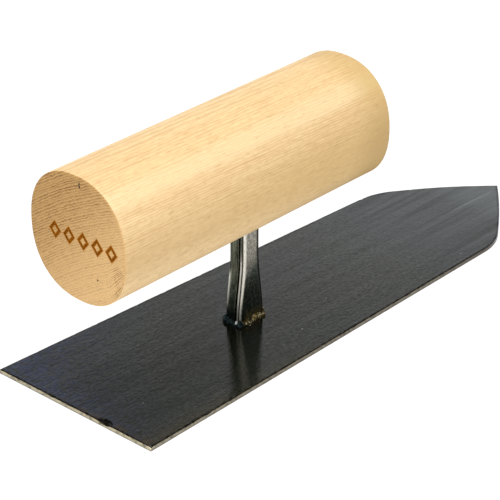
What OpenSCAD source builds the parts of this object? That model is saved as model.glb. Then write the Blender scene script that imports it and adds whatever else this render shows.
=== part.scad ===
// Pointed finishing trowel: a thin steel blade, a folded sheet-steel neck welded on top of it
// and a straight wooden handle driven onto the neck's tang.
//
// Millimetres, +Z up. The origin lies on the sole, halfway along the blade and on its centre
// line. +X points to the tip, and the part is symmetric about the XZ plane apart from the seam
// in the neck.

/* [Blade] */
// Length from the rear edge to the tip
blade_length = 210; // [180:1:270]
// Width at the rear edge
rear_width = 66; // [58:1:90]
// Width across the shoulders, measured to the corners before they are rounded
shoulder_width = 55.3; // [44:0.1:58]
// Length of the pointed end, from those corners to the tip
tip_length = 36; // [30:1:50]
// Radius of the rounded shoulders
shoulder_r = 24; // [2:1:30]
// How far each side of the pointed end bows outwards
tip_bow = 0.5; // [0:0.1:1]
// Thickness of the plate
blade_t = 1.5; // [1:0.1:3]
// Chamfer ground along the upper edge
edge_chamfer = 0.2; // [0.1:0.05:0.4]
// Length over which the upper side is ground down towards the tip
thinned_length = 17; // [8:1:24]
// Thickness left at the very tip
tip_t = 0.6; // [0.5:0.1:1]

/* [Neck] */
// Distance of the neck's axis from the blade's rear edge
neck_from_rear = 75.7; // [60:0.1:90]
// Width of the neck across the blade
neck_width = 6.6; // [5:0.1:9]
// Length of the neck along the blade, at the weld
neck_foot = 11.4; // [9:0.1:16]
// Length of the neck along the blade, at the handle
neck_top = 7.2; // [5:0.1:8.5]
// Height above the blade over which the foot narrows
flare_height = 24; // [15:1:28]
// Thickness of the folded sheet
sheet_t = 1.6; // [0.8:0.1:2]
// Outer radius of the folds
fold_r = 1; // [0.6:0.1:1.8]
// Width of the open seam
seam_w = 0.8; // [0.3:0.1:1.2]
// Depth of the tang in the handle
tang_depth = 28; // [15:1:28]

/* [Weld] */
// Leg of the fillet weld round the neck's foot
weld_leg = 1.5; // [0.8:0.1:2.5]

/* [Handle] */
// Length of the handle
handle_length = 118; // [95:1:140]
// Width of the handle
handle_width = 40; // [30:0.5:46]
// Height of the handle
handle_height = 41.4; // [30:0.2:46]
// Squareness of the section: 2 is an ellipse, and more is squarer
handle_squareness = 2.25; // [2:0.05:3]
// Distance of the handle's rear end from the blade's rear edge
handle_from_rear = 4.5; // [0:0.5:20]
// Height of the handle's axis above the blade, at the rear end
handle_axis_height = 55; // [52:0.5:65]
// Upward tilt of the handle towards the tip, in degrees
handle_tilt = 0.8; // [0:0.1:4]
// Chamfer that breaks the edges of the end faces
handle_chamfer = 0.4; // [0.2:0.1:2]
// Clearance between the tang and its mortise, on each side
tang_fit = 0.05; // [0.02:0.01:0.2]

/* [Hidden] */

rear_x = -blade_length / 2;
tip_x = blade_length / 2;
shoulder_x = tip_x - tip_length;
neck_x = rear_x + neck_from_rear;
handle_x = rear_x + handle_from_rear;
handle_z = blade_t + handle_axis_height;

// Height above the blade at which the tang enters the handle, on the neck's axis
neck_height = handle_axis_height + (neck_x - handle_x) * tan(handle_tilt) - handle_height / 2;
tang_top = neck_height + tang_depth;
// The tang narrows to this share of its section over its last few millimetres
tang_point = 0.6;
tang_point_length = 6;

// The seam runs just inside the right-hand wall
seam_y = -neck_width / 2 + sheet_t + 0.1;

OVERLAP = 1;         // how far cutters reach past what they cut
FOLD_STEPS = 6;      // steps round each folded corner
FLARE_STEPS = 12;    // steps up the flare
ARC_STEPS = 24;      // steps round a shoulder, and along a side of the pointed end
SECTION_STEPS = 96;  // steps round the handle

// ---- blade ----

// The corner of the shoulder on the +Y side, and the directions of its two edges
shoulder = [shoulder_x, shoulder_width / 2];
to_rear = unit([rear_x, rear_width / 2] - shoulder);
to_tip = unit([tip_x, 0] - shoulder);
shoulder_half_angle = acos(to_rear * to_tip) / 2;
arc_start = shoulder + to_rear * shoulder_r / tan(shoulder_half_angle);
arc_end = shoulder + to_tip * shoulder_r / tan(shoulder_half_angle);
arc_centre = shoulder + unit(to_rear + to_tip) * shoulder_r / sin(shoulder_half_angle);

function unit(v) = v / norm(v);
function direction_of(v) = atan2(v[1], v[0]);
function mirrored(points) = [for (i = [len(points) - 1:-1:0]) [points[i][0], -points[i][1]]];

// The rounded shoulder, from the long edge to the pointed end
function shoulder_arc() =
    let (a0 = direction_of(arc_start - arc_centre), a1 = direction_of(arc_end - arc_centre))
    [for (i = [0:ARC_STEPS])
        let (a = a0 + (a1 - a0) * i / ARC_STEPS)
        arc_centre + shoulder_r * [cos(a), sin(a)]];

// One side of the pointed end, bowed outwards, without its two end points
function tip_side() =
    let (side = [tip_x, 0] - arc_end, out = unit([-side[1], side[0]]))
    [for (i = [1:ARC_STEPS - 1])
        let (s = i / ARC_STEPS)
        arc_end + s * side + 4 * tip_bow * s * (1 - s) * out];

function left_outline() = concat([[rear_x, rear_width / 2]], shoulder_arc(), tip_side());

module blade_outline(inset) {
    left = left_outline();
    offset(delta = -inset) polygon(concat(left, [[tip_x, 0]], mirrored(left)));
}

// What is ground off the upper side of the tip
module thinning() {
    slope = atan((blade_t - tip_t) / thinned_length);
    translate([tip_x - thinned_length, -rear_width / 2, blade_t])
        rotate([0, slope, 0]) cube([2 * thinned_length, rear_width, 2 * blade_t]);
}

module blade() {
    color("#3a3d3f") difference() {
        hull() {
            linear_extrude(blade_t - edge_chamfer) blade_outline(0);
            linear_extrude(blade_t) blade_outline(edge_chamfer);
        }
        thinning();
    }
}

// ---- neck and weld ----

// A rectangle with rounded corners, as a list of points
function rounded_section(half_x, half_y, r) =
    [for (corner = [[1, 1, 0], [-1, 1, 90], [-1, -1, 180], [1, -1, 270]])
        for (i = [0:FOLD_STEPS])
            let (a = corner[2] + 90 * i / FOLD_STEPS)
            [corner[0] * (half_x - r) + r * cos(a), corner[1] * (half_y - r) + r * sin(a)]];

// A solid through rounded sections, each given as [height, half_x, half_y, r]
module lofted(levels) {
    n = len(rounded_section(1, 1, 0.1));
    last = len(levels) - 1;
    points = [for (l = levels) for (p = rounded_section(l[1], l[2], l[3])) [p[0], p[1], l[0]]];
    sides = [for (k = [0:last - 1]) for (i = [0:n - 1])
        let (j = (i + 1) % n)
        [k * n + i, (k + 1) * n + i, (k + 1) * n + j, k * n + j]];
    bottom = [for (i = [0:n - 1]) i];
    top = [for (i = [n - 1:-1:0]) last * n + i];
    polyhedron(points, concat([bottom, top], sides), convexity = 4);
}

// Half the neck's length along the blade, at a height above the blade
function neck_half(h) =
    let (s = min(max(h / flare_height, 0), 1), eased = s * s * (3 - 2 * s))
    (neck_foot + (neck_top - neck_foot) * eased) / 2;

flare_heights = [for (i = [0:FLARE_STEPS]) flare_height * i / FLARE_STEPS];

// The neck and its tang, as if it were solid
module neck_envelope() {
    y = neck_width / 2;
    straight_top = tang_top - tang_point_length;
    lofted(concat(
        [for (h = flare_heights) [h, neck_half(h), y, fold_r]],
        [[straight_top, neck_top / 2, y, fold_r],
         [tang_top, tang_point * neck_top / 2, tang_point * y, tang_point * fold_r]]));
}

// The space inside the fold, open at the foot
module neck_hollow() {
    y = neck_width / 2 - sheet_t;
    r = max(fold_r - sheet_t, 0.3);
    below = [-OVERLAP, neck_half(0) - sheet_t, y, r];
    along = [for (h = flare_heights) [h, neck_half(h) - sheet_t, y, r]];
    top = [tang_top - tang_point_length, neck_top / 2 - sheet_t, y, r];
    lofted(concat([below], along, [top]));
}

// The open seam in the rear wall
module seam() {
    translate([-neck_foot / 2 - OVERLAP, seam_y, -OVERLAP])
        cube([neck_foot / 2 + OVERLAP, seam_w, tang_top - tang_point_length + OVERLAP]);
}

module neck() {
    color("#8d8c84") translate([neck_x, 0, blade_t]) difference() {
        neck_envelope();
        neck_hollow();
        seam();
    }
}

module weld_bead() {
    foot_x = neck_foot / 2;
    foot_y = neck_width / 2;
    // A third level, nearer to the corner than a straight slope, makes the fillet hollow
    middle = 0.4 * weld_leg;
    rim = 0.1;
    color("#6b5a3c") translate([neck_x, 0, blade_t]) difference() {
        lofted([
            [0, foot_x + weld_leg, foot_y + weld_leg, fold_r + weld_leg],
            [middle, foot_x + middle, foot_y + middle, fold_r + middle],
            [weld_leg, foot_x + rim, foot_y + rim, fold_r + rim]]);
        translate([0, 0, -OVERLAP]) lofted([
            [0, foot_x, foot_y, fold_r],
            [OVERLAP, foot_x, foot_y, fold_r],
            for (h = flare_heights) if (h > 0 && h < flare_height / 2)
                [h + OVERLAP, neck_half(h), foot_y, fold_r]]);
    }
}

// ---- handle ----

function signed_power(v, e) = sign(v) * pow(abs(v), e);

// The squarish round section, with its height along X
function handle_section(inset) =
    [for (i = [0:SECTION_STEPS - 1])
        let (a = 360 * i / SECTION_STEPS, e = 2 / handle_squareness)
        [(handle_height / 2 - inset) * signed_power(cos(a), e),
         (handle_width / 2 - inset) * signed_power(sin(a), e)]];

module handle_stick() {
    hull() {
        linear_extrude(handle_length) polygon(handle_section(handle_chamfer));
        translate([0, 0, handle_chamfer])
            linear_extrude(handle_length - 2 * handle_chamfer) polygon(handle_section(0));
    }
}

// The blind hole that the tang fills, a little longer than the tang
module mortise() {
    half_x = neck_top / 2 + tang_fit;
    half_y = neck_width / 2 + tang_fit;
    r = fold_r + tang_fit;
    translate([neck_x, 0, blade_t])
        lofted([[flare_height, half_x, half_y, r], [tang_top + OVERLAP, half_x, half_y, r]]);
}

module handle() {
    color("#e6c48c") difference() {
        translate([handle_x, 0, handle_z]) rotate([0, 90 - handle_tilt, 0]) handle_stick();
        mortise();
    }
}

blade();
neck();
weld_bead();
handle();
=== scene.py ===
"""Looks of the pointed finishing trowel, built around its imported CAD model.

Metres, +Z up, in the CAD model's own frame: the origin is on the sole, halfway along the
blade, and +X points to the tip.
"""
import math
import random

import bmesh
import bpy
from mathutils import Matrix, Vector, geometry, noise


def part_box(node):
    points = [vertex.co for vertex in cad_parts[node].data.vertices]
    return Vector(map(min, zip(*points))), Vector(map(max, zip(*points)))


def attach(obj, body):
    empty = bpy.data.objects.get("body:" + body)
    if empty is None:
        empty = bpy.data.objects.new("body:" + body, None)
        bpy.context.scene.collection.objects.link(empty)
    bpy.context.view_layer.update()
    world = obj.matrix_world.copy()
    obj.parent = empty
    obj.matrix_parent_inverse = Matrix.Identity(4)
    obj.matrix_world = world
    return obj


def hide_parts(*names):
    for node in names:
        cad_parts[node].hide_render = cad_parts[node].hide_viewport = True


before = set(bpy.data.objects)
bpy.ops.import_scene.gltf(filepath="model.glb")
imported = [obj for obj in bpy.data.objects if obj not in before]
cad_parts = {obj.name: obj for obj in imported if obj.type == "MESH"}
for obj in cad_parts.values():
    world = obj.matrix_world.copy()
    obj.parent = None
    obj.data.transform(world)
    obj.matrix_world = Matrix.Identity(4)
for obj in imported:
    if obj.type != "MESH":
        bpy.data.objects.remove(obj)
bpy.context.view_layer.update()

MM = 0.001

# ---- places and sizes, from the frame where it has them ----

blade_low, blade_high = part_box("blade")
REAR_X = blade_low.x
TIP_X = blade_high.x
BLADE_TOP = blade_high.z
REAR_HALF_WIDTH = blade_high.y
SHOULDER_HALF_WIDTH = 27.65 * MM
TIP_LENGTH = 36 * MM
SHOULDER_RADIUS = 24 * MM
TIP_BOW = 0.5 * MM
THINNED_LENGTH = 17 * MM
THINNED_BLEND = 8 * MM  # how far the ground slope blends into the flat upper side
TIP_THICKNESS = 0.6 * MM

neck_low, neck_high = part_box("neck")
NECK_X = (neck_low.x + neck_high.x) / 2
NECK_HALF_WIDTH = neck_high.y
NECK_FOOT_HALF = (neck_high.x - neck_low.x) / 2
NECK_TOP_HALF = 3.6 * MM
FLARE_HEIGHT = 24 * MM
TANG_TOP = neck_high.z - BLADE_TOP
TANG_POINT = 0.6  # the tang narrows to this share of its section
TANG_POINT_LENGTH = 6 * MM
SHEET = 1.6 * MM
FOLD_RADIUS = 1.0 * MM
SEAM_WIDTH = 0.8 * MM
MORTISE_CLEARANCE = 0.05 * MM

WELD_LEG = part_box("weld_bead")[1].z - BLADE_TOP

HANDLE_TILT = math.radians(0.8)
HANDLE_REAR = Vector((REAR_X + 4.5 * MM, 0, BLADE_TOP + 55 * MM))
HANDLE_ALONG = Vector((math.cos(HANDLE_TILT), 0, math.sin(HANDLE_TILT)))
HANDLE_UP = Vector((-math.sin(HANDLE_TILT), 0, math.cos(HANDLE_TILT)))
HANDLE_SIDE = Vector((0, 1, 0))
HANDLE_LENGTH = 118 * MM
HANDLE_HALF_WIDTH = 20 * MM
HANDLE_HALF_HEIGHT = 20.7 * MM
HANDLE_SQUARENESS = 2.25
HANDLE_EDGE = 0.45 * MM

# A short crack and a dot in the handle's rear end, as ((across, up), (half width, half height))
END_FLAWS = (
    ((-1.9 * MM, 18.0 * MM), (0.34 * MM, 1.1 * MM)),
    ((-7.8 * MM, -10.7 * MM), (0.4 * MM, 0.45 * MM)),
)

# The burnt mark is a plain row of open lozenges on the handle's rear end
MARK_COUNT = 5
MARK_PITCH = 5.9 * MM
MARK_HALF_WIDTH = 2.4 * MM
MARK_HALF_HEIGHT = 2.9 * MM
MARK_HOLLOW = 0.52  # share of each lozenge that is left open
MARK_CENTRE = -2.3 * MM
MARK_DEPTH = 0.15 * MM


def add_object(name, data):
    """A new object in the scene."""
    obj = bpy.data.objects.new(name, data)
    bpy.context.scene.collection.objects.link(obj)
    return obj


# ---- camera ----

def make_camera():
    """The photograph's view, fitted to the outlines of the blade and the handle."""
    azimuth = math.radians(47.28)
    elevation = math.radians(27.54)
    target = Vector((-26.7, 0, 24.7)) * MM
    distance = 0.7138
    forward = Vector((
        math.sin(azimuth) * math.cos(elevation),
        math.cos(azimuth) * math.cos(elevation),
        -math.sin(elevation),
    ))
    data = bpy.data.cameras.new("camera")
    data.sensor_width = 36
    data.lens = 161.56
    data.clip_start = 0.01
    data.clip_end = 50
    camera = add_object("camera", data)
    camera.location = target - forward * distance
    camera.rotation_euler = forward.to_track_quat("-Z", "Y").to_euler()
    bpy.context.scene.camera = camera


# ---- mesh helpers ----

SEED_STEP = Vector((17.3, 5.1, 9.7))  # how far apart the seeds lie in the noise
# A rounded rectangle's corners, as (side in x, side in y, start of the arc in degrees)
CORNERS = ((1, -1, 270), (1, 1, 0), (-1, 1, 90), (-1, -1, 180))


def eased(t):
    """A smooth step from 0 to 1."""
    t = min(max(t, 0.0), 1.0)
    return t * t * (3 - 2 * t)


def fade(value, full, gone):
    """A smooth step from 1 where value is full to 0 where it is gone, and held beyond both."""
    return eased((gone - value) / (gone - full))


def wander(point, size, seed):
    """Smooth noise from -1 to 1 that changes over about size metres."""
    return noise.noise(Vector(point) / size + SEED_STEP * seed)


def arc(centre_x, centre_y, radius, start, end, steps):
    """Points on an arc, with its angles in degrees."""
    points = []
    for i in range(steps + 1):
        a = math.radians(start + (end - start) * i / steps)
        points.append((centre_x + radius * math.cos(a), centre_y + radius * math.sin(a)))
    return points


def bridge(first, second, count):
    """Quads between two closed rings of count points, given their first indices."""
    quads = []
    for i in range(count):
        j = (i + 1) % count
        quads.append((first + i, first + j, second + j, second + i))
    return quads


def stack(rings):
    """Vertices and side faces of closed rings that all have the same number of points."""
    count = len(rings[0])
    verts = [point for ring in rings for point in ring]
    faces = []
    for k in range(len(rings) - 1):
        faces += bridge(k * count, (k + 1) * count, count)
    return verts, faces


def capped(rings):
    """A closed solid: the stack of rings with a flat face on its first and last ring."""
    verts, faces = stack(rings)
    count = len(rings[0])
    faces += [tuple(range(count)), tuple(range(len(verts) - count, len(verts)))]
    return verts, faces


def looped(rings):
    """A closed solid: the stack of rings with its last ring joined to its first."""
    verts, faces = stack(rings)
    count = len(rings[0])
    faces += bridge(len(verts) - count, 0, count)
    return verts, faces


def make_mesh(name, verts, faces):
    """A linked mesh object with its normals facing outwards."""
    mesh = bpy.data.meshes.new(name)
    mesh.from_pydata([tuple(v) for v in verts], [], faces)
    bm = bmesh.new()
    bm.from_mesh(mesh)
    bmesh.ops.recalc_face_normals(bm, faces=bm.faces)
    bm.to_mesh(mesh)
    bm.free()
    return add_object(name, mesh)


def add_attribute(obj, name, values):
    """Gives the vertices a number each, which a material reads by its name."""
    attribute = obj.data.attributes.new(name, "FLOAT", "POINT")
    for item, value in zip(attribute.data, values):
        item.value = value


def finish_piece(obj, material, node, crease_degrees):
    """Shades a piece smooth up to its creases and lets it stand for a CAD node."""
    obj.data.materials.clear()
    obj.data.materials.append(material)
    for polygon in obj.data.polygons:
        polygon.use_smooth = True
    obj.data.set_sharp_from_angle(angle=math.radians(crease_degrees))
    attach(obj, "root")
    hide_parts(node)


def cut(obj, cutters):
    """Takes the cutters out of obj and removes them."""
    for cutter in cutters:
        modifier = obj.modifiers.new("cut", "BOOLEAN")
        modifier.operation = "DIFFERENCE"
        modifier.solver = "EXACT"
        modifier.object = cutter
    depsgraph = bpy.context.evaluated_depsgraph_get()
    mesh = bpy.data.meshes.new_from_object(obj.evaluated_get(depsgraph))
    obj.modifiers.clear()
    obj.data = mesh
    for cutter in cutters:
        bpy.data.objects.remove(cutter)


# ---- blade ----

LONG_STEPS = 230       # steps along each long edge
SHOULDER_STEPS = 24    # steps round each shoulder
TIP_STEPS = 56         # steps along each side of the pointed end
REAR_STEPS = 94        # steps along the rear edge
EDGE_ZONE = 1.2 * MM   # width of the border strip inside the ground edge
GRIND = 0.2 * MM       # usual width of the ground chamfer
GRID = 3 * MM          # spacing of the points inside the plate
WAVE = 0.02 * MM       # how far the upper side dips, unevenly
UNDER_EDGE = 0.1 * MM  # how far the lower edge is cut back
# How far each long edge closes in for each metre along it
EDGE_SLOPE = (REAR_HALF_WIDTH - SHOULDER_HALF_WIDTH) / (TIP_X - TIP_LENGTH - REAR_X)
# Dents in the rear edge, as (y, half length, depth)
REAR_DENTS = ((-13.4 * MM, 3.6 * MM, 1.1 * MM), (9.5 * MM, 1.8 * MM, 0.35 * MM))
# Nicks in the right-hand edge, as (distance from the rear edge, half length, depth)
RIGHT_NICKS = (
    (0.2 * MM, 1.2 * MM, 0.50 * MM),
    (15.4 * MM, 1.4 * MM, 0.30 * MM),
    (18.2 * MM, 1.2 * MM, 0.40 * MM),
    (24.9 * MM, 1.8 * MM, 0.35 * MM),
)
SIDE_NICKS = 34  # seeded small nicks along the two sides
REAR_NICKS = 7   # and along the rear edge


def top_at(x):
    """Height of the blade's upper side, which is ground down towards the tip."""
    past = x - TIP_X + THINNED_LENGTH
    if past < THINNED_BLEND:
        past = max(past + THINNED_BLEND, 0.0) ** 2 / (4 * THINNED_BLEND)
    return BLADE_TOP - (BLADE_TOP - TIP_THICKNESS) * past / THINNED_LENGTH


def half_outline(inset):
    """The left side from rear corner to tip, with equally many points at any inset."""
    shoulder = Vector((TIP_X - TIP_LENGTH, SHOULDER_HALF_WIDTH))
    back = (Vector((REAR_X, REAR_HALF_WIDTH)) - shoulder).normalized()
    ahead = (Vector((TIP_X, 0)) - shoulder).normalized()
    half_angle = back.angle(ahead) / 2
    centre = shoulder + (back + ahead).normalized() * SHOULDER_RADIUS / math.sin(half_angle)
    out_back = Vector((back.y, -back.x))
    out_ahead = Vector((-ahead.y, ahead.x))
    radius = SHOULDER_RADIUS - inset
    arc_start = centre + out_back * radius
    arc_end = centre + out_ahead * radius
    corner = arc_start + back * ((REAR_X + inset - arc_start.x) / back.x)
    tip = arc_end - ahead * (arc_end.y / ahead.y)
    points = [corner.lerp(arc_start, i / LONG_STEPS) for i in range(LONG_STEPS)]
    turn_from = math.degrees(math.atan2(out_back.y, out_back.x))
    turn_to = math.degrees(math.atan2(out_ahead.y, out_ahead.x))
    points += [Vector(p) for p in arc(*centre, radius, turn_from, turn_to, SHOULDER_STEPS)]
    for i in range(1, TIP_STEPS + 1):
        t = i / TIP_STEPS
        points.append(arc_end.lerp(tip, t) + out_ahead * 4 * TIP_BOW * t * (1 - t))
    return points


def outline(inset):
    """The whole outline: left side, right side, then the rear edge."""
    left = half_outline(inset)
    right = [Vector((p.x, -p.y)) for p in reversed(left[:-1])]
    rear = [right[-1].lerp(left[0], i / REAR_STEPS) for i in range(1, REAR_STEPS)]
    return left + right + rear


def edge_nicks():
    """Small nicks in the upper edge, as (point, half length, depth)."""
    rng = random.Random(11)
    left = half_outline(0)
    nicks = [(Vector((REAR_X, y)), half, depth) for y, half, depth in REAR_DENTS]
    for along, half, depth in RIGHT_NICKS:
        nicks.append((Vector((REAR_X + along, EDGE_SLOPE * along - REAR_HALF_WIDTH)), half, depth))
    for _ in range(SIDE_NICKS):
        point = rng.choice(left).copy()
        if rng.random() < 0.5:
            point.y = -point.y
        nicks.append((point, rng.uniform(0.5, 1.4) * MM, rng.uniform(0.08, 0.28) * MM))
    for _ in range(REAR_NICKS):
        point = Vector((REAR_X, rng.uniform(-0.95, 0.95) * REAR_HALF_WIDTH))
        nicks.append((point, rng.uniform(0.6, 1.5) * MM, rng.uniform(0.08, 0.2) * MM))
    return nicks


def grind_width(point, nicks):
    """Width of the ground chamfer at a point of the outline."""
    width = GRIND * (1 + 0.3 * wander((point.x, point.y, 0), 3 * MM, 1))
    for place, half, depth in nicks:
        width += depth * eased(1 - (point - place).length / half)
    return min(width, 0.9 * EDGE_ZONE)


def plate_fill(ring, ring_start, new_start, height_at, wave):
    """New vertices, numbered from new_start, and the triangles that fill a ring with them."""
    low_x, high_x = min(p.x for p in ring), max(p.x for p in ring)
    inner = []
    for i in range(int((high_x - low_x) / GRID)):
        for j in range(int(2 * REAR_HALF_WIDTH / GRID)):
            x = low_x + (i + 0.5 + 0.5 * (j % 2)) * GRID
            y = -REAR_HALF_WIDTH + (j + 0.5) * GRID
            if inside_outline(x, y, EDGE_ZONE + 0.6 * GRID):
                inner.append(Vector((x, y)))
    count = len(ring)
    coords, _, triangles, origin, _, _ = geometry.delaunay_2d_cdt(
        ring + inner, [], [list(range(count))], 1, 1e-9)
    numbers = [ring_start + o[0] if o[0] < count else None for o in origin]
    verts = []
    for k, point in enumerate(coords):
        if numbers[k] is None:
            numbers[k] = new_start + len(verts)
            depth = wave * (0.5 + 0.5 * wander((point.x, point.y, 0), 25 * MM, 2))
            verts.append((point.x, point.y, height_at(point.x) - depth))
    return verts, [tuple(numbers[i] for i in t) for t in triangles]


def inside_outline(x, y, margin):
    """Whether a point lies inside the outline's straight lines by at least margin."""
    long_edge = REAR_HALF_WIDTH - EDGE_SLOPE * (x - REAR_X)
    tip_edge = (TIP_X - x) * SHOULDER_HALF_WIDTH / TIP_LENGTH
    tip_margin = margin * math.hypot(1, SHOULDER_HALF_WIDTH / TIP_LENGTH)
    return x > REAR_X + margin and abs(y) < long_edge - margin and abs(y) < tip_edge - tip_margin


def make_blade(material):
    """The plate: rings from its upper side round the edge to its underside, and two fills."""
    full, lower, border = outline(0), outline(UNDER_EDGE), outline(EDGE_ZONE)
    nicks = edge_nicks()
    widths = [grind_width(p, nicks) for p in full]

    def level(points, z):
        return [(p.x, p.y, z) for p in points]

    def upper(points):
        return [(p.x, p.y, top_at(p.x)) for p in points]

    ground = [p.lerp(q, w / EDGE_ZONE) for p, q, w in zip(full, border, widths)]
    chamfer_foot = [(p.x, p.y, max(top_at(p.x) - max(0.7 * w, 0.1 * MM), 0.2 * MM))
                    for p, w in zip(full, widths)]
    # The rings, each with how far down the edge it is: 0 is the upper side and 1.2 the underside
    levels = (
        (0.0, upper(border)),
        (0.1, upper(ground)),
        (0.25, chamfer_foot),
        (0.9, level(full, 0.12 * MM)),
        (1.0, level(lower, 0)),
        (1.2, level(border, 0)),
    )
    verts, faces = stack([ring for _, ring in levels])
    down_edge = [down for down, ring in levels for _ in ring]
    last_ring = len(verts) - len(border)
    for ring_start, height_at, wave in ((0, top_at, WAVE), (last_ring, lambda x: 0, 0)):
        new_verts, new_faces = plate_fill(border, ring_start, len(verts), height_at, wave)
        verts += new_verts
        faces += new_faces
        down_edge += [down_edge[ring_start]] * len(new_verts)
    obj = make_mesh("blade_plate", verts, faces)
    add_attribute(obj, "down_edge", down_edge)
    finish_piece(obj, material, "blade", 20)


# ---- neck ----

SEAM_Y = -NECK_HALF_WIDTH + SHEET + 0.1 * MM  # the seam runs just inside the right-hand wall
FLARE_RINGS = 30
TANG_RINGS = 14
SHEET_SWAY = 0.03 * MM  # how far the folded sheet is from straight


def neck_half(height):
    """Half the neck's length along the blade, at a height above the blade."""
    return NECK_FOOT_HALF + (NECK_TOP_HALF - NECK_FOOT_HALF) * eased(height / FLARE_HEIGHT)


def folded_section(half):
    """The folded sheet from above: its sheared end, the outside, the flap's end, the inside."""
    side = NECK_HALF_WIDTH
    burr, bend = 0.18 * MM, 0.3 * MM
    flap_end = SEAM_Y + SEAM_WIDTH
    inner_x, inner_y = half - SHEET, side - SHEET
    # Close to the bends the flat sides have points of their own, which keep the worn and highlit
    # bands narrow
    near, far = 0.4 * MM, 0.8 * MM
    bend_x, bend_y = half - FOLD_RADIUS, side - FOLD_RADIUS
    right_side = [(x, -side) for x in (near - bend_x, far - bend_x, bend_x - far, bend_x - near)]
    rear_side = [(-half, bend_y - near), (-half, bend_y - far)]
    # The sheared end of the right-hand wall: a burr beside the seam, then a shallow groove
    sheared = [
        (-half + 0.25 * MM, SEAM_Y),
        (-half + 0.06 * MM, SEAM_Y - 0.10 * MM),
        (-half, SEAM_Y - 0.28 * MM),
        (-half + 0.02 * MM, SEAM_Y - 0.46 * MM),
        (-half + 0.16 * MM, SEAM_Y - 0.60 * MM),
        (-half + 0.26 * MM, SEAM_Y - 0.78 * MM),
        (-half + 0.20 * MM, SEAM_Y - 0.92 * MM),
    ]
    return (
        sheared
        + arc(-bend_x, -bend_y, FOLD_RADIUS, 205, 270, 9)
        + right_side
        + arc(bend_x, -bend_y, FOLD_RADIUS, 270, 360, 10)
        + arc(bend_x, bend_y, FOLD_RADIUS, 0, 90, 10)
        + arc(-bend_x, bend_y, FOLD_RADIUS, 90, 180, 10)
        + rear_side
        + arc(-half + burr, flap_end + burr, burr, 180, 270, 4)
        + arc(-inner_x - burr, flap_end + burr, burr, 270, 360, 4)
        + arc(-inner_x + bend, inner_y - bend, bend, 180, 90, 4)
        + arc(inner_x - bend, inner_y - bend, bend, 90, 0, 4)
        + arc(inner_x - bend, -inner_y + bend, bend, 0, -90, 4)
    )


def neck_wear_and_light(x, y, half, height):
    """How far a point of the section is worn bright with a painted highlight, and how far it has
    painted shade with dark oxide.
    """
    def distance(from_x, from_y):
        return math.hypot(x - from_x, y - from_y)

    side = NECK_HALF_WIDTH
    bend = 0.3 * FOLD_RADIUS
    rear_bend = distance(-half + bend, -side + bend)
    front_bend = distance(half - bend, -side + bend)
    left_bend = distance(-half + 0.1 * MM, side - 0.6 * MM)
    burr = distance(-half, SEAM_Y - 0.30 * MM)
    groove = distance(-half + 0.20 * MM, SEAM_Y - 0.90 * MM)
    # The worn, highlit rear bend widens with the height, and the left bend has a painted highlight
    # halfway up
    highlight_width = 0.55 * MM + 0.3 * MM * eased(height / FLARE_HEIGHT)
    halfway_up = fade(height, 6.5 * MM, 3.5 * MM) * fade(height, 15 * MM, 19 * MM)
    # Painted shade in the groove and on the front and left bends, with dark oxide there
    shade_and_grime = max(
        fade(groove, 0.22 * MM, 0.42 * MM),
        fade(front_bend, 0.84 * MM, 1.44 * MM),
        fade(left_bend, 0.15 * MM, 0.65 * MM) * (1 - halfway_up),
    )
    # Worn bright, with painted highlights on the rear bend, the burr and the left bend
    worn_and_highlit = max(
        fade(rear_bend, 0.25 * highlight_width, 1.25 * highlight_width),
        fade(burr, 0.238 * MM, 0.578 * MM) * fade(height, 19 * MM, 27 * MM),
        fade(left_bend, 0.3 * MM, 0.9 * MM) * 0.85 * halfway_up,
    )
    return worn_and_highlit * (1 - shade_and_grime), shade_and_grime


def make_neck(material):
    """The folded sheet: one closed section at many heights, up to the end of the tang."""
    straight_top = TANG_TOP - TANG_POINT_LENGTH
    straight = straight_top - FLARE_HEIGHT
    heights = [FLARE_HEIGHT * i / FLARE_RINGS for i in range(FLARE_RINGS + 1)]
    heights += [FLARE_HEIGHT + straight * i / TANG_RINGS for i in range(1, TANG_RINGS + 1)]
    rings = []
    wear_and_light = []
    for height in heights:
        ring = []
        sway = SHEET_SWAY * fade(height, straight_top - 20 * MM, straight_top)
        for x, y in folded_section(neck_half(height)):
            wear_and_light.append(neck_wear_and_light(x, y, neck_half(height), height))
            point = Vector((NECK_X + x, y, BLADE_TOP + height))
            direction = Vector((wander(point, 9 * MM, 3), wander(point, 9 * MM, 4), 0))
            ring.append(point + sway * direction)
        rings.append(ring)
    rings.append([Vector((NECK_X + x * TANG_POINT, y * TANG_POINT, BLADE_TOP + TANG_TOP))
                  for x, y in folded_section(NECK_TOP_HALF)])
    obj = make_mesh("folded_neck", *capped(rings))
    # The tang's end, inside the handle, has no wear, no painted highlight and no painted shade
    add_attribute(obj, "worn_and_highlit", [worn_and_highlit for worn_and_highlit, _ in wear_and_light])
    add_attribute(obj, "shade_and_grime", [shade_and_grime for _, shade_and_grime in wear_and_light])
    finish_piece(obj, material, "neck", 40)


# ---- weld ----

# Lumps of weld metal, as (x from the neck's axis, y, radius, extra reach, extra height)
WELD_LUMPS = (
    (-3.0 * MM, -3.3 * MM, 2.2 * MM, 1.0 * MM, 0.1 * MM),
    (-5.4 * MM, -2.6 * MM, 1.3 * MM, 0.4 * MM, 0.5 * MM),
    (-5.7 * MM, 2.6 * MM, 1.6 * MM, 0.1 * MM, 1.0 * MM),
    (2.2 * MM, -3.3 * MM, 2.6 * MM, 0.1 * MM, 0.7 * MM),
    (5.4 * MM, -2.4 * MM, 1.5 * MM, 0.0 * MM, 0.9 * MM),
)
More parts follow.
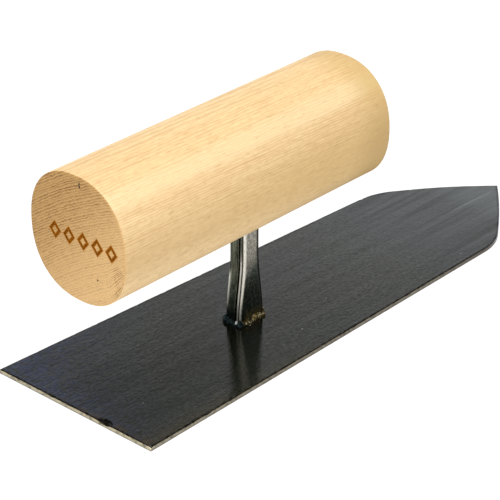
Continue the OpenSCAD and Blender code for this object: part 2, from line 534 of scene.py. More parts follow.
# The middle of one painted glint at the rear
WELD_GLINT_SPOT = Vector((NECK_X - 6.2 * MM, -2.4 * MM, BLADE_TOP + 1.2 * MM))
WELD_INTO_NECK = 0.08 * MM
WELD_INTO_BLADE = 0.03 * MM
WELD_BUMPS = 0.2 * MM    # how far its bumps stand out
WELD_SIDE_STEPS = 56     # steps along each side of the foot
WELD_CORNER_STEPS = 16   # steps round each corner
WELD_PROFILE_STEPS = 18  # steps across the bead


def foot_path():
    """Points round the neck's foot, each with its outward direction."""
    half_x, half_y, r = NECK_FOOT_HALF, NECK_HALF_WIDTH, FOLD_RADIUS
    bends = []
    for sx, sy, start in CORNERS:
        turn = (start, start + 90, WELD_CORNER_STEPS)
        points = arc(sx * (half_x - r), sy * (half_y - r), r, *turn)
        outwards = arc(0, 0, 1, *turn)
        bends.append([(Vector(p), Vector(out)) for p, out in zip(points, outwards)])
    path = []
    for bend, following in zip(bends, bends[1:] + bends[:1]):
        path += bend
        here, out = bend[-1]
        there = following[0][0]
        for i in range(1, WELD_SIDE_STEPS):
            path.append((here.lerp(there, i / WELD_SIDE_STEPS), out))
    return path


def weld_size(point):
    """How far the bead reaches outwards and upwards at a point of the neck's foot."""
    swell = 1 + 0.25 * wander((point.x, point.y, 0), 1.6 * MM, 5)
    reach = 0.75 * WELD_LEG * swell
    rise = 0.95 * WELD_LEG * swell
    for x, y, radius, more_reach, more_rise in WELD_LUMPS:
        share = eased(1 - (point - Vector((x, y))).length / radius)
        reach += share * more_reach
        rise += share * more_rise
    return reach, rise


def make_weld(material):
    """A lumpy ring of metal round the neck's foot, from its top edge down to the blade."""
    path = foot_path()
    sizes = [weld_size(point) for point, _ in path]
    rings = []
    for k in range(WELD_PROFILE_STEPS + 1):
        across = math.pi / 2 * k / WELD_PROFILE_STEPS
        ring = []
        for (point, out), (reach, rise) in zip(path, sizes):
            outwards = reach * math.sin(across) - WELD_INTO_NECK
            height = rise * math.cos(across)
            place = point + out * outwards
            bumps = wander((place.x, place.y, height), 0.9 * MM, 7)
            bumps += 0.7 * wander((place.x, place.y, height), 0.4 * MM, 9)
            rough = WELD_BUMPS * math.sin(2 * across) * bumps
            place += out * rough
            ring.append((NECK_X + place.x, place.y, BLADE_TOP + height + rough - WELD_INTO_BLADE))
        rings.append(ring)
    # The last ring is hidden, in the neck and the blade
    hidden = [point - out * WELD_INTO_NECK for point, out in path]
    rings.append([(NECK_X + p.x, p.y, BLADE_TOP - WELD_INTO_BLADE) for p in hidden])
    obj = make_mesh("weld_metal", *looped(rings))
    finish_piece(obj, material, "weld_bead", 60)


# ---- handle ----

HANDLE_STEPS = 144   # steps round the handle
BODY_STEPS = 30      # steps along it
EDGE_STEPS = 5       # steps round the broken edge of an end face
PIT_STEPS = 12       # steps round a pit
MORTISE_STEPS = 6    # steps round each corner of the mortise
SANDING = 0.05 * MM  # how unevenly the handle is sanded
# Sizes of the rings that fill an end face, as shares of it
END_FACE_SHARES = (0.04, 0.3, 0.6, 0.85, 0.96)


def handle_point(along, across, up):
    return HANDLE_REAR + HANDLE_ALONG * along + HANDLE_SIDE * across + HANDLE_UP * up


def signed_power(value, power):
    return math.copysign(abs(value) ** power, value)


def handle_ring(along, inset, share=1.0):
    """The handle's squarish round section at a distance from its rear end."""
    power = 2 / HANDLE_SQUARENESS
    ring = []
    for i in range(HANDLE_STEPS):
        a = 2 * math.pi * (i + 0.5) / HANDLE_STEPS
        across = (HANDLE_HALF_WIDTH - inset) * signed_power(math.sin(a), power)
        up = (HANDLE_HALF_HEIGHT - inset) * signed_power(math.cos(a), power)
        ring.append(handle_point(along, across * share, up * share))
    return ring


def sanded(ring):
    """The ring pulled inwards a little and unevenly, as hand sanding leaves it."""
    centre = sum(ring, Vector()) / len(ring)
    out = []
    for point in ring:
        unevenness = wander((point.x * 0.4, point.y, point.z), 14 * MM, 8)
        out.append(point + (centre - point).normalized() * SANDING * (0.5 + 0.5 * unevenness))
    return out


def mortise_cutter():
    """A little wider than the tang, from below the handle to just past the tang's end."""
    half_x, half_y = NECK_TOP_HALF + MORTISE_CLEARANCE, NECK_HALF_WIDTH + MORTISE_CLEARANCE
    r = FOLD_RADIUS + MORTISE_CLEARANCE
    section = []
    for sx, sy, start in CORNERS:
        section += arc(sx * (half_x - r), sy * (half_y - r), r, start, start + 90, MORTISE_STEPS)
    rings = []
    for z in (BLADE_TOP + FLARE_HEIGHT, BLADE_TOP + TANG_TOP + MM):
        rings.append([(NECK_X + x, y, z) for x, y in section])
    return make_mesh("mortise_cutter", *capped(rings))


def mark_cutter(k):
    """One open lozenge of the burnt mark."""
    centre = MARK_CENTRE + (k - (MARK_COUNT - 1) / 2) * MARK_PITCH
    corners = ((1, 0), (0, 1), (-1, 0), (0, -1))
    rings = []
    for share, along in ((1, -MM), (1, MARK_DEPTH), (MARK_HOLLOW, MARK_DEPTH), (MARK_HOLLOW, -MM)):
        rings.append([
            handle_point(along, centre + sx * share * MARK_HALF_WIDTH, sy * share * MARK_HALF_HEIGHT)
            for sx, sy in corners
        ])
    return make_mesh("mark_cutter", *looped(rings))


def pit_cutter(across, up, radius):
    """A small conical pit in the end grain, a little wider than it is high."""
    rings = []
    for along, share in ((-radius, 2.0), (1.2 * radius, 0.2)):
        ring = []
        for i in range(PIT_STEPS):
            a = 2 * math.pi * i / PIT_STEPS
            ring.append(handle_point(along, across + share * radius * math.cos(a),
                                     up + 0.8 * share * radius * math.sin(a)))
        rings.append(ring)
    return make_mesh("pit_cutter", *capped(rings))


def make_handle(material):
    """The handle, with its mortise, burnt mark and pits cut out of it."""
    edge = []
    for i in range(EDGE_STEPS + 1):
        a = math.pi / 2 * i / EDGE_STEPS
        edge.append((HANDLE_EDGE * (1 - math.cos(a)), HANDLE_EDGE * (1 - math.sin(a))))
    straight = HANDLE_LENGTH - 2 * HANDLE_EDGE
    rings = [handle_ring(0, HANDLE_EDGE, share) for share in END_FACE_SHARES]
    rings += [handle_ring(along, inset) for along, inset in edge]
    for i in range(1, BODY_STEPS):
        rings.append(sanded(handle_ring(HANDLE_EDGE + straight * i / BODY_STEPS, 0)))
    rings += [handle_ring(HANDLE_LENGTH - along, inset) for along, inset in reversed(edge)]
    rings += [handle_ring(HANDLE_LENGTH, HANDLE_EDGE, share) for share in reversed(END_FACE_SHARES)]
    obj = make_mesh("wooden_handle", *capped(rings))
    cutters = [mortise_cutter()]
    cutters += [mark_cutter(k) for k in range(MARK_COUNT)]
    cutters += [pit_cutter(*place, half_size[0]) for place, half_size in END_FLAWS]
    cut(obj, cutters)
    finish_piece(obj, material, "handle", 35)


# ---- material helpers ----

class Graph:
    """The nodes of a material or the world, with a short method for each kind of node."""

    def __init__(self, owner, shader="Principled BSDF", place="Object"):
        owner.use_nodes = True
        self.owner = owner
        self.nodes = owner.node_tree.nodes
        self.links = owner.node_tree.links
        self.shader = self.nodes[shader]
        self.place = self.node("TexCoord").outputs[place]

    def feed(self, socket, value):
        """Links a socket to another node's output, or sets its own value."""
        if isinstance(value, bpy.types.NodeSocket):
            self.links.new(value, socket)
        else:
            socket.default_value = value

    def set(self, **values):
        """Feeds the shader's sockets, given by name with _ for a space."""
        for name, value in values.items():
            self.feed(self.shader.inputs[name.replace("_", " ")], value)

    def node(self, kind, *values):
        """A new node, with its first sockets fed with the values."""
        node = self.nodes.new("ShaderNode" + kind)
        for socket, value in zip(node.inputs, values):
            self.feed(socket, value)
        return node

    def math(self, operation, *values):
        node = self.node("Math", *values)
        node.operation = operation
        return node.outputs[0]

    def plus(self, a, b):
        return self.math("ADD", a, b)

    def minus(self, a, b):
        return self.math("SUBTRACT", a, b)

    def times(self, a, b):
        return self.math("MULTIPLY", a, b)

    def times_plus(self, a, b, c):
        return self.math("MULTIPLY_ADD", a, b, c)

    def between(self, value, low, high, to_low=0.0, to_high=1.0):
        """A value mapped smoothly from low..high to to_low..to_high, and held beyond both."""
        node = self.node("MapRange", value, low, high, to_low, to_high)
        node.interpolation_type = "SMOOTHSTEP"
        return node.outputs[0]

    def vector(self, operation, *values):
        node = self.node("VectorMath", *values)
        node.operation = operation
        return node

    def scaled(self, vector, factors, shift=(0, 0, 0)):
        return self.vector("MULTIPLY_ADD", vector, factors, shift).outputs[0]

    def dot(self, vector, direction):
        return self.vector("DOT_PRODUCT", vector, direction).outputs["Value"]

    def length(self, vector):
        return self.vector("LENGTH", vector).outputs["Value"]

    def stretched(self, share, shift=(0, 0, 0)):
        """The place squeezed along X, which draws out the noise that is read there."""
        return self.scaled(self.place, (share, 1, 1), shift)

    def combined(self, x, y, z):
        return self.node("CombineXYZ", x, y, z).outputs[0]

    def noise(self, size, vector=None, detail=2.0, roughness=0.5):
        """Noise from about 0.25 to 0.75 that changes over about size metres."""
        node = self.node("TexNoise", self.place if vector is None else vector)
        node.inputs["Scale"].default_value = 1 / size
        node.inputs["Detail"].default_value = detail
        node.inputs["Roughness"].default_value = roughness
        return node.outputs["Fac"]

    def mix(self, share, first, second):
        """A colour between two, each given as a socket or as (red, green, blue)."""
        node = self.node("Mix", share)
        node.data_type = "RGBA"
        for socket, colour in zip(node.inputs[6:8], (first, second)):
            self.feed(socket, colour if isinstance(colour, bpy.types.NodeSocket) else (*colour, 1.0))
        return node.outputs[2]

    def attribute(self, name):
        node = self.node("Attribute")
        node.attribute_name = name
        return node.outputs["Fac"]

    def bump(self, height, distance, strength=1.0):
        node = self.node("Bump")
        self.feed(node.inputs["Height"], height)
        node.inputs["Distance"].default_value = distance
        node.inputs["Strength"].default_value = strength
        return node.outputs[0]


# ---- wood ----

# The wood's side
WOOD_PALE = (0.81, 0.615, 0.345)
WOOD_TAN = (0.77, 0.555, 0.30)
WOOD_GOLDEN = (0.76, 0.53, 0.225)
WOOD_TOP = (0.83, 0.60, 0.30)
# Paler wood for the painted highlight band
WOOD_HIGHLIGHT = (0.85, 0.68, 0.40)
WOOD_PINKISH = (1.0, 0.74, 0.41)
WOOD_FRONT = (0.62, 0.44, 0.185)
WOOD_LOW_FRONT = (0.58, 0.39, 0.14)
LATE_WOOD = (0.56, 0.31, 0.12)
FIBRES = (0.60, 0.36, 0.16)
BLOTCHES = (0.56, 0.33, 0.14)
FLECKS = (0.45, 0.25, 0.10)
# Its end grain, as a painted shaded and a painted lit copy
END_SHADED = (0.60, 0.35, 0.12)
END_LIT = (0.86, 0.55, 0.24)
END_PORES = (0.36, 0.21, 0.085)
END_LATE_WOOD = (0.20, 0.08, 0.008)
# Painted shade in the crack and the pit
END_FLAW_SHADE = (0.03, 0.012, 0.004)
# The burnt mark
SCORCHED = (0.55, 0.23, 0.02)
CHAR_DARK = (0.13, 0.036, 0.0)
CHAR_BROWN = (0.38, 0.115, 0.001)

WOOD_SPECULAR = 0.3
# The growth rings lie round the pith, which is outside the handle
PITH = Vector((0, -92 * MM, -110 * MM))
RING_WIDTH = 0.80 * MM
# The rings waver on three scales, as (size, how far they move)
RING_WAVERS = ((18 * MM, 1.2 * MM), (2.0 * MM, 0.6 * MM), (0.9 * MM, 0.75 * MM))


def growth_rings(g, right, up):
    """Where the dark late wood of each year is, from 0 to 1."""
    radius = g.length(g.scaled(g.place, (0, 1, 1), -PITH))
    for size, reach in RING_WAVERS:
        waver = g.minus(g.noise(size, g.stretched(0.1), 1.0), 0.5)
        radius = g.times_plus(waver, reach, radius)
    # The rings steepen near the lower right rim
    bend = g.times(g.times(right, right), g.between(up, 2 * MM, -9 * MM))
    radius = g.times_plus(bend, -0.06 / MM, radius)
    # Uneven years: both the spacing and the darkness of the rings change with the radius
    year = g.combined(radius, 0.0, 0.0)
    spacing = g.minus(g.noise(3.0 * MM, year, 1.0), 0.5)
    uneven_radius = g.times_plus(spacing, 1.5 * MM, radius)
    phase = g.math("FRACT", g.math("DIVIDE", uneven_radius, RING_WIDTH))
    late = g.times(g.between(phase, 0.25, 0.75), g.between(phase, 0.99, 0.88))
    darkness = g.between(g.noise(1.7 * MM, year, 1.0), 0.3, 0.68, 0.45, 1.0)
    gaps = g.noise(2.6 * MM, g.stretched(0.1), 3.0, 0.7)
    return g.times(g.times(late, darkness), g.between(gaps, 0.32, 0.6, 0.35, 1.0))


def wood_side(g, along, up, late, fibre):
    """Colour of the handle's side: soft changes of tone, a painted highlight band and a darker front
    end, under lines, fibres and flecks.
    """
    patch = g.noise(20 * MM, g.stretched(0.35), 2.0)
    side = g.mix(g.between(patch, 0.35, 0.65), WOOD_PALE, WOOD_TAN)
    golden = g.times(g.between(up, 14 * MM, 0.0), g.between(up, -17 * MM, -7 * MM))
    golden = g.times(golden, g.between(along, 5 * MM, 95 * MM, 0.4, 1.0))
    side = g.mix(golden, side, WOOD_GOLDEN)
    side = g.mix(g.between(up, 16.5 * MM, 19 * MM, 0.0, 0.6), side, WOOD_TOP)
    # A painted highlight band along the upper side, where the lines, fibres and blotches show less
    highlight_band = g.between(g.math("ABSOLUTE", g.minus(up, 15.5 * MM)), 3.5 * MM, 1 * MM)
    side = g.mix(g.times(highlight_band, 0.4), side, WOOD_HIGHLIGHT)
    pinkish = g.times(g.between(up, -4 * MM, -13 * MM), g.between(along, 105 * MM, 45 * MM))
    side = g.mix(g.times(pinkish, 0.8), side, WOOD_PINKISH)
    side = g.mix(g.between(along, 100 * MM, 116 * MM, 0.0, 0.9), side, WOOD_FRONT)
    low_front = g.times(g.between(along, 97 * MM, 115 * MM), g.between(up, 9 * MM, -2 * MM))
    side = g.mix(g.times(low_front, 0.6), side, WOOD_LOW_FRONT)

    # Dense lines on the upper half of the side, and plainer, mottled wood below
    lined = g.between(up, -13 * MM, 3 * MM, 0.06, 0.65)
    lined = g.times(lined, g.times_plus(highlight_band, -0.6, 1.0))
    side = g.mix(g.times(late, lined), side, LATE_WOOD)
    marked = g.times_plus(highlight_band, -0.5, 1.0)
    side = g.mix(g.times(g.between(fibre, 0.35, 0.7, 0.0, 0.34), marked), side, FIBRES)
    blotch = g.noise(1.1 * MM, g.stretched(0.45), 3.0, 0.7)
    side = g.mix(g.times(g.between(blotch, 0.42, 0.7, 0.0, 0.32), marked), side, BLOTCHES)
    fleck = g.between(g.noise(0.55 * MM, g.stretched(0.16), 1.0), 0.64, 0.74)
    return g.mix(g.times(fleck, 0.32), side, FLECKS)


def wood_end(g, along, across, up, right, late, pores):
    """Colour of the end grain, paler towards its lower right as painted light from the floor and
    darker towards its upper left as painted shade; its rings fade towards the lower right.
    """
    lower_right = g.minus(g.times(across, -0.9), up)
    # Painted shade towards the upper left, painted light towards the lower right
    end = g.mix(g.between(lower_right, -20 * MM, 28 * MM), END_SHADED, END_LIT)
    end = g.mix(g.between(pores, 0.35, 0.7, 0.0, 0.35), end, END_PORES)
    strength = g.between(lower_right, -16 * MM, 10 * MM, 1.0, 0.38)
    rim = g.times(g.between(right, 2 * MM, 5 * MM), g.between(up, 2 * MM, -6 * MM))
    end = g.mix(g.times(late, g.math("MAXIMUM", strength, rim)), end, END_LATE_WOOD)
    at_rear = g.math("LESS_THAN", along, HANDLE_LENGTH / 2)
    # Painted shade in the crack and the pit
    for (x, y), (half_x, half_y) in END_FLAWS:
        from_flaw = g.scaled(g.combined(across, up, 0.0), (1 / half_x, 1 / half_y, 0),
                             (-x / half_x, -y / half_y, 0))
        flaw_shaded = g.times(g.between(g.length(from_flaw), 1.1, 0.7), at_rear)
        end = g.mix(flaw_shaded, end, END_FLAW_SHADE)
    return end


def mark_masks(g, along, across, up):
    """Where the burnt lozenges and the scorched wood round them are."""
    across = g.minus(across, MARK_CENTRE)
    cell = g.math("FRACT", g.plus(g.math("DIVIDE", across, MARK_PITCH), 0.5))
    cell = g.math("ABSOLUTE", g.minus(cell, 0.5))
    # 0 at the centre of each lozenge, and 1 on its outline
    lozenge = g.times_plus(cell, MARK_PITCH / MARK_HALF_WIDTH,
                           g.math("DIVIDE", g.math("ABSOLUTE", up), MARK_HALF_HEIGHT))
    in_row = g.math("LESS_THAN", g.math("ABSOLUTE", across), MARK_COUNT * MARK_PITCH / 2)
    in_row = g.times(in_row, g.math("LESS_THAN", along, 2 * MARK_DEPTH))
    inner_edge = g.between(lozenge, MARK_HOLLOW - 0.08, MARK_HOLLOW + 0.04)
    burnt = g.times(inner_edge, g.between(lozenge, 1.08, 0.96))
    inner_glow = g.between(lozenge, MARK_HOLLOW - 0.3, MARK_HOLLOW)
    scorched = g.times(inner_glow, g.between(lozenge, 1.3, 1.0))
    return g.times(burnt, in_row), g.times(scorched, in_row)


def wood_material():
    """Pale straight-grained softwood: growth rings in depth, fibres, and a burnt mark."""
    g = Graph(bpy.data.materials.new("handle_wood"))
    from_rear = g.scaled(g.place, (1, 1, 1), -HANDLE_REAR)
    along = g.dot(from_rear, HANDLE_ALONG)
    across = g.dot(from_rear, HANDLE_SIDE)
    up = g.dot(from_rear, HANDLE_UP)
    # How far into the right-hand part of the handle, where the rings bend
    right = g.math("MAXIMUM", g.minus(g.times(across, -1.0), 11 * MM), 0.0)
    late = growth_rings(g, right, up)
    fibre = g.noise(0.3 * MM, g.stretched(0.06), 3.0, 0.65)
    pores = g.noise(0.3 * MM, None, 2.0, 0.7)
    side = wood_side(g, along, up, late, fibre)
    end = wood_end(g, along, across, up, right, late, pores)
    from_end = g.math("MINIMUM", along, g.minus(HANDLE_LENGTH, along))
    colour = g.mix(g.between(from_end, 0.3 * MM, 0.12 * MM), side, end)

    burnt, scorched = mark_masks(g, along, across, up)
    colour = g.mix(g.times(scorched, 0.75), colour, SCORCHED)
    char = g.mix(g.between(pores, 0.4, 0.6), CHAR_DARK, CHAR_BROWN)
    colour = g.mix(burnt, colour, char)

    height = g.times_plus(late, 0.5, g.times(fibre, 0.6))
    # Charred wood reflects less. An exported model keeps only the socket's own level
    g.set(Specular_IOR_Level=WOOD_SPECULAR)
    g.set(Base_Color=colour, Normal=g.bump(height, 0.03 * MM, 0.5), IOR=1.45,
          Roughness=g.between(fibre, 0.3, 0.7, 0.46, 0.6),
          Specular_IOR_Level=g.times_plus(burnt, -0.28, WOOD_SPECULAR))
    return g.owner


# ---- blade's steel ----

# The oxide, and what lies on it
OXIDE_GREEN = (0.004, 0.006, 0.0055)
OXIDE_OLIVE = (0.0055, 0.006, 0.0025)
OXIDE_BROWN = (0.0065, 0.0065, 0.003)
OXIDE_GREY = (0.009, 0.011, 0.009)
OXIDE_BLUE = (0.016, 0.024, 0.075)
STREAKS = (0.030, 0.032, 0.030)
SPECKS = (0.30, 0.30, 0.28)
PALE_LINE = (0.085, 0.095, 0.10)
RUST = (0.035, 0.018, 0.005)
# Painted shadow and grime in the rear edge's deepest dent
DENT_SHADE_AND_GRIME = (0.003, 0.0025, 0.002)
# Dark oxide on the upper chamfer, and painted shade along the lower edge
DARK_EDGE_OXIDE_AND_SHADE = (0.006, 0.005, 0.003)
# The tints of its reflections
SHEEN_REAR = (0.92, 0.93, 0.85)
SHEEN_BLUE = (0.86, 0.96, 1.0)
SHEEN_MIDDLE = (0.94, 0.95, 1.0)
SHEEN_TIP = (0.81, 0.94, 0.98)
# The bare steel of the edge
STEEL_DARK = (0.15, 0.132, 0.102)
STEEL_PALE = (0.25, 0.224, 0.18)
# Paler bare steel towards and on the rear edge is painted light
STEEL_REAR_LIT = (0.34, 0.31, 0.23)
STEEL_REAR_EDGE_LIT = (0.50, 0.44, 0.31)
STEEL_FRONT = (0.075, 0.063, 0.045)
STEEL_GRIME = (0.07, 0.058, 0.042)


def oxide_colour(g, along, streak, grain, hue, blue):
    """Near-black oxide in several hues, with pale streaks and specks."""
    tint = g.noise(26 * MM, g.stretched(0.5), 2.0)
    colour = g.mix(g.between(tint, 0.4, 0.62), OXIDE_GREEN, OXIDE_OLIVE)
    colour = g.mix(g.between(hue, 0.42, 0.6), colour, OXIDE_BROWN)
    colour = g.mix(g.between(grain, 0.42, 0.62), colour, OXIDE_GREY)
    colour = g.mix(g.between(streak, 0.54, 0.75, 0.0, 0.35), colour, STREAKS)
    colour = g.mix(g.times(blue, 0.8), colour, OXIDE_BLUE)
    speck = g.between(g.noise(1.3 * MM, None, 0.0), 0.86, 0.90)
    return g.mix(g.times(speck, 0.45), colour, SPECKS)


def pale_line(g, along, aside):
    """One pale rubbed line that runs back from the tip."""
    from_line = g.math("ABSOLUTE", g.plus(aside, 2.1 * MM))
    line = g.times(g.between(from_line, 0.9 * MM, 0.1 * MM), g.between(along, 66 * MM, 84 * MM))
    return g.times(line, g.between(along, 102 * MM, 97 * MM, 0.0, 0.6))


def oxide_shine(g, streak, broad, grain, near_tip):
    """The oxide's specular level, which varies round 0.5 with the grain and the streaks."""
    rubbing = g.noise(2.2 * MM, g.stretched(0.03, (0.4, 0.1, 0.2)), 3.0, 0.6)
    streaks = g.times_plus(g.minus(broad, 0.5), 0.5, g.between(streak, 0.3, 0.7, 0.92, 1.08))
    grainy = g.times(g.between(grain, 0.36, 0.64, -0.17, 0.17),
                     g.between(near_tip, 0.0, 1.0, 1.0, 0.35))
    rubbings = g.times(g.between(rubbing, 0.34, 0.66, -0.15, 0.15), near_tip)
    return g.times(g.plus(g.plus(grainy, rubbings), 0.5), streaks)


def bare_steel(g, along):
    """Colour of the bright band, with painted light that makes it palest at the rear edge; it is
    dull towards the tip.
    """
    scratch = g.noise(0.12 * MM, g.scaled(g.place, (0.05, 0.05, 1)), 2.0)
    steel = g.mix(g.between(scratch, 0.3, 0.7), STEEL_DARK, STEEL_PALE)
    steel = g.mix(g.between(along, REAR_X + 70 * MM, REAR_X, 0.0, 0.6), steel, STEEL_REAR_LIT)
    at_rear_edge = g.between(along, REAR_X + 0.3 * MM, REAR_X + 0.1 * MM)
    steel = g.mix(at_rear_edge, steel, STEEL_REAR_EDGE_LIT)
    steel = g.mix(g.between(along, 20 * MM, 65 * MM, 0.0, 0.75), steel, STEEL_FRONT)
    grime = g.noise(1.4 * MM, None, 3.0, 0.7)
    return g.mix(g.between(grime, 0.48, 0.62, 0.0, 0.7), steel, STEEL_GRIME)


def blade_material():
    """Blue-black oxide, grainy and faintly streaked, with a dull bright band round the edge."""
    g = Graph(bpy.data.materials.new("blade_oxide"))
    along, aside = g.dot(g.place, (1, 0, 0)), g.dot(g.place, (0, 1, 0))
    streak = g.noise(0.4 * MM, g.stretched(0.03), 3.0, 0.65)
    broad = g.noise(5 * MM, g.stretched(0.06), 2.0)
    mottle = g.noise(3.0 * MM, g.stretched(0.6), 3.0, 0.6)
    grain = g.noise(0.8 * MM, g.stretched(0.55), 3.0, 0.8)
    hue = g.noise(1.3 * MM, g.stretched(0.4, (0.1, 0.2, 0.3)), 3.0, 0.8)
    near_tip = g.between(along, 20 * MM, 75 * MM)

    # The rear left corner is bluer than the rest
    rear_left = g.times_plus(aside, 0.8, g.times(along, -1.0))
    blue = g.times(g.between(rear_left, 60 * MM, 132 * MM), g.between(hue, 0.4, 0.6))
    colour = oxide_colour(g, along, streak, grain, hue, blue)
    sheen = g.mix(blue, SHEEN_REAR, SHEEN_BLUE)
    sheen = g.mix(g.between(along, 25 * MM, 55 * MM), sheen, SHEEN_MIDDLE)
    sheen = g.mix(g.between(along, 72 * MM, 96 * MM), sheen, SHEEN_TIP)
    colour = g.mix(pale_line(g, along, aside), colour, PALE_LINE)

    # Rusty stains along the rear edge, and painted shadow with grime in its deepest dent
    stained = g.times(g.between(along, REAR_X + 3.5 * MM, REAR_X), g.between(aside, 14 * MM, 2 * MM))
    stained = g.times(stained, g.between(mottle, 0.42, 0.56))
    colour = g.mix(g.times(stained, 0.7), colour, RUST)
    from_dent = g.combined(g.math("DIVIDE", g.minus(along, REAR_X + 0.8 * MM), 1.5),
                           g.math("DIVIDE", g.minus(aside, REAR_DENTS[0][0]), 2.6), 0.0)
    dented = g.times_plus(g.minus(hue, 0.5), 0.8 * MM, g.length(from_dent))
    shade_and_grime = g.between(dented, 1.15 * MM, 0.85 * MM)
    colour = g.mix(shade_and_grime, colour, DENT_SHADE_AND_GRIME)

    # The bright band runs between a ragged upper limit and the dark lower edge; the lower edge is
    # painted shade, and the chamfer above the band is dark oxide
    down = g.attribute("down_edge")
    ragged = g.times_plus(g.noise(0.8 * MM, None, 3.0), 0.24, 0.13)
    bare = g.times(g.math("GREATER_THAN", down, ragged), g.between(down, 0.86, 0.78))
    edge = g.times(g.between(down, 0.02, 0.09), g.between(down, 1.2, 1.05))
    edge = g.times(edge, g.between(along, 50 * MM, 80 * MM, 1.0, 0.6))
    colour = g.mix(edge, colour, DARK_EDGE_OXIDE_AND_SHADE)
    colour = g.mix(bare, colour, bare_steel(g, along))

    rough = g.plus(g.between(grain, 0.3, 0.7, 0.045, 0.10),
                   g.between(streak, 0.3, 0.8, -0.01, 0.04))
    rough = g.plus(rough, g.between(along, TIP_X - 24 * MM, TIP_X - 6 * MM, 0.0, 0.12))
    rough = g.times_plus(edge, 0.3, rough)
    dull = g.times(g.minus(1.0, bare), g.math("MAXIMUM", edge, shade_and_grime))
    shine = g.times_plus(dull, -0.44, oxide_shine(g, streak, broad, grain, near_tip))
    height = g.times_plus(broad, 0.5, g.times(mottle, 0.25))
    height = g.times_plus(grain, 0.28, height)
    height = g.times_plus(streak, 0.08, height)
    g.set(Base_Color=colour, Metallic=bare, Roughness=rough, IOR=1.62,
          Specular_IOR_Level=shine, Specular_Tint=sheen, Normal=g.bump(height, 0.1 * MM))
    return g.owner


# ---- neck's steel and weld metal ----

NECK_DARK = (0.11, 0.104, 0.085)
NECK_PALE = (0.37, 0.35, 0.30)
# Worn steel with a painted highlight
NECK_WORN_HIGHLIGHT = (1.0, 0.97, 0.87)
# Painted shade with dark oxide
NECK_SHADE_AND_GRIME = (0.006, 0.006, 0.005)
OLIVE_DARK = (0.055, 0.064, 0.036)
OLIVE_PALE = (0.175, 0.185, 0.125)
# Heat scale, with a painted dark reflection of the blade
SCALE_AND_REFLECTION_DARK = (0.036, 0.060, 0.044)
SCALE_AND_REFLECTION_PALE = (0.14, 0.20, 0.16)
HEAT_GOLD = (0.13, 0.09, 0.016)
HEAT_BLUE = (0.005, 0.020, 0.022)

WELD_BROWN = (0.030, 0.024, 0.008)
WELD_GOLD = (0.15, 0.105, 0.022)
# Painted highlights on the weld's lumps, and painted shade in its hollows
WELD_PAINTED_HIGHLIGHT = (0.62, 0.53, 0.34)
WELD_HOLLOW_SHADE = (0.006, 0.006, 0.004)
WELD_BLUE_BLACK = (0.002, 0.014, 0.018)
# Painted teal highlights on the rear lumps
WELD_TEAL_HIGHLIGHT = (0.05, 0.13, 0.17)
# A painted glint
WELD_GLINT = (0.95, 0.98, 1.0)


def neck_material():
    """Bare sheet steel, olive on its rear, dark low down with heat scale and a painted reflection of
    the blade, and worn bright with painted highlights on its bends.
    """
    g = Graph(bpy.data.materials.new("neck_steel"))
    height = g.minus(g.dot(g.place, (0, 0, 1)), BLADE_TOP)
    along = g.minus(g.dot(g.place, (1, 0, 0)), NECK_X)
    mottle = g.noise(0.8 * MM, g.scaled(g.place, (1, 1, 0.7)), 4.0, 0.8)
    cloud = g.noise(4.0 * MM, None, 2.0)
    drawn = g.noise(0.5 * MM, g.scaled(g.place, (1, 1, 0.08)), 2.0)
    colour = g.mix(g.between(mottle, 0.32, 0.66), NECK_DARK, NECK_PALE)
    rear = g.between(along, -3.2 * MM, -3.6 * MM)
    olive = g.mix(g.between(drawn, 0.35, 0.65), OLIVE_DARK, OLIVE_PALE)
    colour = g.mix(g.times(rear, 0.85), colour, olive)

    # The heat scale, with the painted dark reflection of the blade, reaches higher towards the
    # front, up to a cloudy line
    scale_and_reflection_end = g.times_plus(g.minus(cloud, 0.5), 7 * MM, height)
    scale_and_reflection_end = g.times_plus(along, -1.5, scale_and_reflection_end)
    scale_and_reflection = g.times(g.between(scale_and_reflection_end, 23 * MM, 16 * MM), 0.75)
    scale_and_reflection = g.times(scale_and_reflection, g.times_plus(rear, -0.5, 1.0))
    scale_and_reflection_colour = g.mix(g.between(drawn, 0.45, 0.7), SCALE_AND_REFLECTION_DARK, SCALE_AND_REFLECTION_PALE)
    colour = g.mix(scale_and_reflection, colour, scale_and_reflection_colour)
    gold = g.times(g.between(height, 5.5 * MM, 2.5 * MM), g.between(mottle, 0.40, 0.52))
    colour = g.mix(g.times(gold, 0.8), colour, HEAT_GOLD)
    blue = g.times(g.between(height, 6.0 * MM, 3 * MM), rear)
    colour = g.mix(g.times(blue, 0.85), colour, HEAT_BLUE)

    # Painted shade and dark oxide on the groove and bends
    shade_and_grime = g.attribute("shade_and_grime")
    colour = g.mix(shade_and_grime, colour, NECK_SHADE_AND_GRIME)
    chips = g.noise(0.4 * MM, g.scaled(g.place, (1, 1, 0.5)), 3.0, 0.8)
    # Painted highlights on the bends and the burr, where the steel is also worn bright
    worn_and_highlit = g.times(g.attribute("worn_and_highlit"), g.between(chips, 0.28, 0.48, 0.3, 1.0))
    worn_and_highlit = g.times(worn_and_highlit, g.between(height, 2 * MM, 12 * MM, 0.35, 1.0))
    colour = g.mix(worn_and_highlit, colour, NECK_WORN_HIGHLIGHT)
    rough = g.times_plus(worn_and_highlit, 0.2, g.between(mottle, 0.3, 0.7, 0.18, 0.30))
    rough = g.times_plus(gold, 0.25, rough)
    metal = g.times_plus(worn_and_highlit, -0.75, g.minus(1.0, shade_and_grime))
    bumps = g.times_plus(mottle, 0.8, cloud)
    g.set(Base_Color=colour, Metallic=metal, Specular_IOR_Level=0.05,
          Roughness=rough, Normal=g.bump(bumps, 0.06 * MM, 0.5))
    return g.owner


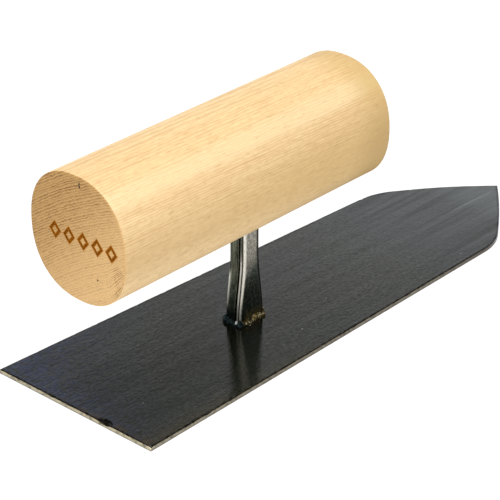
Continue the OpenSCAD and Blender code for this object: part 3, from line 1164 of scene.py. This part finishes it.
def weld_material():
    """Rough weld metal: brown and gold, blue-black at the rear, with painted highlights on its
    lumps, painted shade in its hollows, and one painted glint.
    """
    g = Graph(bpy.data.materials.new("weld_metal"))
    patch = g.noise(0.7 * MM, None, 3.0, 0.7)
    hue = g.noise(2.0 * MM, g.scaled(g.place, (1, 1, 1), (0.3, 0.1, 0.2)), 2.0)
    colour = g.mix(g.between(hue, 0.38, 0.54), WELD_BROWN, WELD_GOLD)
    # Painted highlights on the raised lumps, and painted shade in the hollows between them
    colour = g.mix(g.between(patch, 0.52, 0.62, 0.0, 0.9), colour, WELD_PAINTED_HIGHLIGHT)
    colour = g.mix(g.between(patch, 0.46, 0.36, 0.0, 0.9), colour, WELD_HOLLOW_SHADE)
    at_rear = g.between(g.dot(g.place, (1, 0, 0)), NECK_X - 4.2 * MM, NECK_X - 5.4 * MM)
    # At the rear, blue-black metal with painted teal highlights on its lumps
    teal = g.mix(g.between(patch, 0.56, 0.66), WELD_BLUE_BLACK, WELD_TEAL_HIGHLIGHT)
    colour = g.mix(g.times(at_rear, 0.95), colour, teal)
    # A painted glint, white and not metallic
    from_spot = g.scaled(g.place, (1, 1, 1), -WELD_GLINT_SPOT)
    glint = g.between(g.length(from_spot), 0.75 * MM, 0.5 * MM)
    colour = g.mix(glint, colour, WELD_GLINT)
    g.set(Base_Color=colour, Metallic=g.times_plus(glint, -0.85, 0.85),
          Roughness=g.between(patch, 0.3, 0.7, 0.14, 0.36),
          Normal=g.bump(patch, 0.25 * MM, 0.9))
    return g.owner


# ---- studio ----

FLOOR_COLOUR = (0.3, 0.3, 0.3, 1)
FLOOR_GLOW = 0.75
FLOOR_HALF = 3.0
FLOOR_GAP = 0.02 * MM  # between the sole and the floor
WORLD_STRENGTH = 1.05
WORLD_COLOUR = (0.96, 0.98, 1.0, 1)
WALL_BEHIND = (0.73, 0.68, 0)  # the direction of the pale wall
DARK_ABOVE = 0.08
DIM_FRONT = 0.35
# Soft square lights, as (name, place, size, power)
LIGHTS = (
    ("key", (-0.15, -0.12, 1.06), 0.6, 13.2),
    ("fill", (-0.32, -0.24, 0.10), 0.2, 0.36),
)


def make_floor():
    """A plain pale floor that glows a little, so that it stays white next to the object."""
    g = Graph(bpy.data.materials.new("floor"))
    g.set(Base_Color=FLOOR_COLOUR, Roughness=0.9, Specular_IOR_Level=0.1,
          Emission_Color=(1, 1, 1, 1), Emission_Strength=FLOOR_GLOW)
    sides = ((-1, -1), (1, -1), (1, 1), (-1, 1))
    corners = [(x * FLOOR_HALF, y * FLOOR_HALF, -FLOOR_GAP) for x, y in sides]
    floor = make_mesh("floor", corners, [(0, 1, 2, 3)])
    floor.data.materials.append(g.owner)


def make_light(name, place, size, power):
    """A soft square light at place that faces the object."""
    data = bpy.data.lights.new(name, "AREA")
    data.shape = "SQUARE"
    data.size = size
    data.energy = power
    light = add_object(name, data)
    light.location = place
    light.rotation_euler = (-Vector(place)).to_track_quat("-Z", "Y").to_euler()


def make_world():
    """A pale wall behind the object, dimmer walls in front, and a darker space above."""
    world = bpy.data.worlds.new("studio")
    bpy.context.scene.world = world
    g = Graph(world, "Background", "Generated")
    above = g.between(g.dot(g.place, (0, 0, 1)), 0.40, 0.58, 1.0, DARK_ABOVE)
    wall = g.between(g.dot(g.place, WALL_BEHIND), -0.5, 0.5, DIM_FRONT, 1.0)
    g.set(Color=WORLD_COLOUR, Strength=g.times(g.times(above, wall), WORLD_STRENGTH))


make_camera()
make_blade(blade_material())
make_neck(neck_material())
make_weld(weld_material())
make_handle(wood_material())
make_floor()
make_world()
for light in LIGHTS:
    make_light(*light)
bpy.context.scene.view_settings.view_transform = "Standard"
